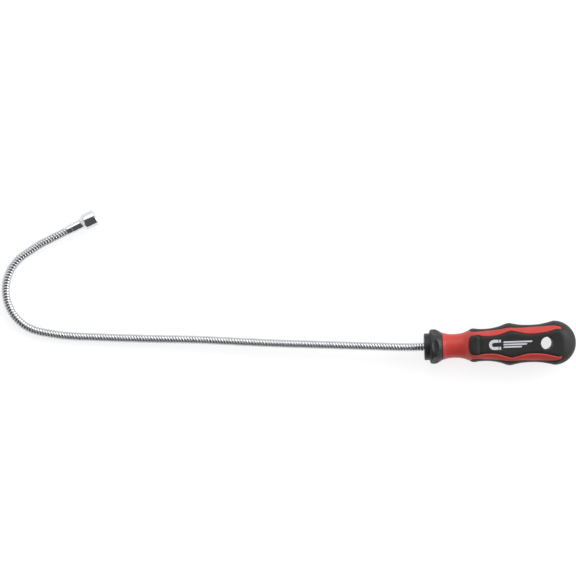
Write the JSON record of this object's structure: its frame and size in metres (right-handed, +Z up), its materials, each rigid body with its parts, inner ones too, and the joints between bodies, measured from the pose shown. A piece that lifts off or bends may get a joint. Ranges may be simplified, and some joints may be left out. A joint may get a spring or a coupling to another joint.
{
  "type": "flexible magnetic pick-up tool",
  "caption": "Magnetic pick-up tool: two-colour squared grip with a hang hole, bendable steel gooseneck bent in a J, and a magnet in a chromed cup.",
  "frame": {"origin": "middle of the handle's flat underside, on the surface that the tool lies on", "axes": "+X along the handle towards its butt, +Z up out of the front face of the grip, +Y to the side that the gooseneck's hook turns to"},
  "size_m": [0.4433, 0.1313, 0.0267],
  "materials": {
    "core_black": "moulded, fine satin",
    "body_red": "moulded, semi-gloss",
    "grip_black": "soft touch, fine texture",
    "sleeve_steel": "turned, zinc grey",
    "coil_chrome": "bright plated wire",
    "spring_steel": "drawn spring wire",
    "head_chrome": "polished chrome",
    "magnet_nickel": "nickel-plated magnet",
    "spacer_brass": "turned brass",
    "plate_steel": "ground steel"
  },
  "bodies": {
    "handle": {"handle_core": "core_black", "handle_body": "body_red", "grip_overmould": "grip_black", "anchor_sleeve": "sleeve_steel", "outer_coil_00": "coil_chrome", "inner_coil_00": "spring_steel"},
    "link_01": {"outer_coil_01": "coil_chrome", "inner_coil_01": "spring_steel"},
    "link_02": {"outer_coil_02": "coil_chrome", "inner_coil_02": "spring_steel"},
    "link_03": {"outer_coil_03": "coil_chrome", "inner_coil_03": "spring_steel"},
    "link_04": {"outer_coil_04": "coil_chrome", "inner_coil_04": "spring_steel"},
    "link_05": {"outer_coil_05": "coil_chrome", "inner_coil_05": "spring_steel"},
    "link_06": {"outer_coil_06": "coil_chrome", "inner_coil_06": "spring_steel"},
    "link_07": {"outer_coil_07": "coil_chrome", "inner_coil_07": "spring_steel"},
    "link_08": {"outer_coil_08": "coil_chrome", "inner_coil_08": "spring_steel"},
    "link_09": {"outer_coil_09": "coil_chrome", "inner_coil_09": "spring_steel"},
    "link_10": {"outer_coil_10": "coil_chrome", "inner_coil_10": "spring_steel"},
    "link_11": {"outer_coil_11": "coil_chrome", "inner_coil_11": "spring_steel"},
    "link_12": {"outer_coil_12": "coil_chrome", "inner_coil_12": "spring_steel"},
    "link_13": {"outer_coil_13": "coil_chrome", "inner_coil_13": "spring_steel"},
    "link_14": {"outer_coil_14": "coil_chrome", "inner_coil_14": "spring_steel"},
    "link_15": {"outer_coil_15": "coil_chrome", "inner_coil_15": "spring_steel"},
    "link_16": {"outer_coil_16": "coil_chrome", "inner_coil_16": "spring_steel"},
    "link_17": {"outer_coil_17": "coil_chrome", "inner_coil_17": "spring_steel"},
    "link_18": {"outer_coil_18": "coil_chrome", "inner_coil_18": "spring_steel"},
    "link_19": {"outer_coil_19": "coil_chrome", "inner_coil_19": "spring_steel"},
    "link_20": {"outer_coil_20": "coil_chrome", "inner_coil_20": "spring_steel"},
    "link_21": {"outer_coil_21": "coil_chrome", "inner_coil_21": "spring_steel"},
    "link_22": {"outer_coil_22": "coil_chrome", "inner_coil_22": "spring_steel", "head_shell": "head_chrome", "magnet": "magnet_nickel", "magnet_spacer": "spacer_brass", "pole_plate": "plate_steel"}
  },
  "joints": [
    {"name": "shaft_bend_side", "type": "hinge", "parent": "handle", "child": "link_01", "pos_m": [-0.08315, 0, 0.01335], "axis": [0, 0, 1], "range_deg": [-24, 24]},
    {"name": "shaft_bend_up", "type": "hinge", "parent": "link_01", "child": "link_02", "pos_m": [-0.1101, 0.00169, 0.01335], "axis": [0.0628, 0.998, 0], "range_deg": [-22, 22]},
    {"name": "shaft_bend_side_03", "type": "hinge", "parent": "link_02", "child": "link_03", "pos_m": [-0.13701, 0.00339, 0.01209], "axis": [-0.0464, 0.0029, 0.9989], "range_deg": [-24.48, 24.48]},
    {"name": "shaft_bend_up_04", "type": "hinge", "parent": "link_03", "child": "link_04", "pos_m": [-0.16393, 0.00508, 0.01084], "axis": [0.0628, 0.998, 0], "range_deg": [-22.44, 22.44]},
    {"name": "shaft_bend_side_05", "type": "hinge", "parent": "link_04", "child": "link_05", "pos_m": [-0.19085, 0.00678, 0.00958], "axis": [-0.0464, 0.0029, 0.9989], "range_deg": [-24.48, 24.48]},
    {"name": "shaft_bend_up_06", "type": "hinge", "parent": "link_05", "child": "link_06", "pos_m": [-0.21773, 0.00894, 0.00833], "axis": [0.0802, 0.9968, 0.0008], "range_deg": [-22.44, 22.44]},
    {"name": "shaft_bend_side_07", "type": "hinge", "parent": "link_06", "child": "link_07", "pos_m": [-0.24462, 0.0111, 0.00707], "axis": [-0.0464, 0.0029, 0.9989], "range_deg": [-24.48, 24.48]},
    {"name": "shaft_bend_up_08", "type": "hinge", "parent": "link_07", "child": "link_08", "pos_m": [-0.27155, 0.01247, 0.00581], "axis": [0.0506, 0.9987, -0.0006], "range_deg": [-22.44, 22.44]},
    {"name": "shaft_bend_side_09", "type": "hinge", "parent": "link_08", "child": "link_09", "pos_m": [-0.29849, 0.01383, 0.00456], "axis": [-0.0464, 0.0029, 0.9989], "range_deg": [-24.48, 24.48]},
    {"name": "shaft_bend_up_10", "type": "hinge", "parent": "link_09", "child": "link_10", "pos_m": [-0.3254, 0.01567, 0.0033], "axis": [0.068, 0.9977, 0.0002], "range_deg": [-22.44, 22.44]},
    {"name": "hook_curl_11", "type": "hinge", "parent": "link_10", "child": "link_11", "pos_m": [-0.34635, 0.01709, 0.0033], "axis": [0, -0.0002, 1], "range_deg": [-2.09, 6.63]},
    {"name": "hook_curl_12", "type": "hinge", "parent": "link_11", "child": "link_12", "pos_m": [-0.36258, 0.02007, 0.0033], "axis": [0, -0.0002, 1], "range_deg": [-1.45, 4.59]},
    {"name": "hook_curl", "type": "hinge", "parent": "link_12", "child": "link_13", "pos_m": [-0.37321, 0.0229, 0.0033], "axis": [0, -0.0002, 1], "range_deg": [-6, 19]},
    {"name": "hook_curl_14", "type": "hinge", "parent": "link_13", "child": "link_14", "pos_m": [-0.38234, 0.02904, 0.0033], "axis": [0, -0.0002, 1], "range_deg": [-6.12, 19.38]},
    {"name": "hook_curl_15", "type": "hinge", "parent": "link_14", "child": "link_15", "pos_m": [-0.38897, 0.03781, 0.00331], "axis": [0, -0.0002, 1], "range_deg": [-6.12, 19.38]},
    {"name": "hook_curl_16", "type": "hinge", "parent": "link_15", "child": "link_16", "pos_m": [-0.39239, 0.04827, 0.00331], "axis": [0, -0.0002, 1], "range_deg": [-6.12, 19.38]},
    {"name": "hook_curl_17", "type": "hinge", "parent": "link_16", "child": "link_17", "pos_m": [-0.39222, 0.05926, 0.00331], "axis": [0, -0.0002, 1], "range_deg": [-6.12, 19.38]},
    {"name": "hook_curl_18", "type": "hinge", "parent": "link_17", "child": "link_18", "pos_m": [-0.38847, 0.06961, 0.00331], "axis": [0, -0.0002, 1], "range_deg": [-6.12, 19.38]},
    {"name": "hook_curl_19", "type": "hinge", "parent": "link_18", "child": "link_19", "pos_m": [-0.38157, 0.07817, 0.00331], "axis": [0, -0.0002, 1], "range_deg": [-6.12, 19.38]},
    {"name": "tip_bend_up", "type": "hinge", "parent": "link_19", "child": "link_20", "pos_m": [-0.3731, 0.08348, 0.00332], "axis": [0.5314, -0.8471, -0.0002], "range_deg": [-22, 22]},
    {"name": "hook_curl_21", "type": "hinge", "parent": "link_20", "child": "link_21", "pos_m": [-0.36472, 0.08873, 0.00484], "axis": [-0.1292, -0.0813, 0.9883], "range_deg": [-2.51, 7.96]},
    {"name": "tip_bend_up_22", "type": "hinge", "parent": "link_21", "child": "link_22", "pos_m": [-0.35571, 0.09279, 0.00636], "axis": [0.4129, -0.9106, -0.0209], "range_deg": [-22.44, 22.44]}
  ],
  "couplings": [
    {"joint": "shaft_bend_side_03", "follows": "shaft_bend_side", "ratio": 1},
    {"joint": "shaft_bend_up_04", "follows": "shaft_bend_up", "ratio": 1},
    {"joint": "shaft_bend_side_05", "follows": "shaft_bend_side", "ratio": 1},
    {"joint": "shaft_bend_up_06", "follows": "shaft_bend_up", "ratio": 1},
    {"joint": "shaft_bend_side_07", "follows": "shaft_bend_side", "ratio": 1},
    {"joint": "shaft_bend_up_08", "follows": "shaft_bend_up", "ratio": 1},
    {"joint": "shaft_bend_side_09", "follows": "shaft_bend_side", "ratio": 1},
    {"joint": "shaft_bend_up_10", "follows": "shaft_bend_up", "ratio": 1},
    {"joint": "hook_curl_11", "follows": "hook_curl", "ratio": 0.3421},
    {"joint": "hook_curl_12", "follows": "hook_curl", "ratio": 0.23684},
    {"joint": "hook_curl_14", "follows": "hook_curl", "ratio": 1},
    {"joint": "hook_curl_15", "follows": "hook_curl", "ratio": 1},
    {"joint": "hook_curl_16", "follows": "hook_curl", "ratio": 1},
    {"joint": "hook_curl_17", "follows": "hook_curl", "ratio": 1},
    {"joint": "hook_curl_18", "follows": "hook_curl", "ratio": 1},
    {"joint": "hook_curl_19", "follows": "hook_curl", "ratio": 1},
    {"joint": "hook_curl_21", "follows": "hook_curl", "ratio": 0.41053},
    {"joint": "tip_bend_up_22", "follows": "tip_bend_up", "ratio": 1}
  ]
}
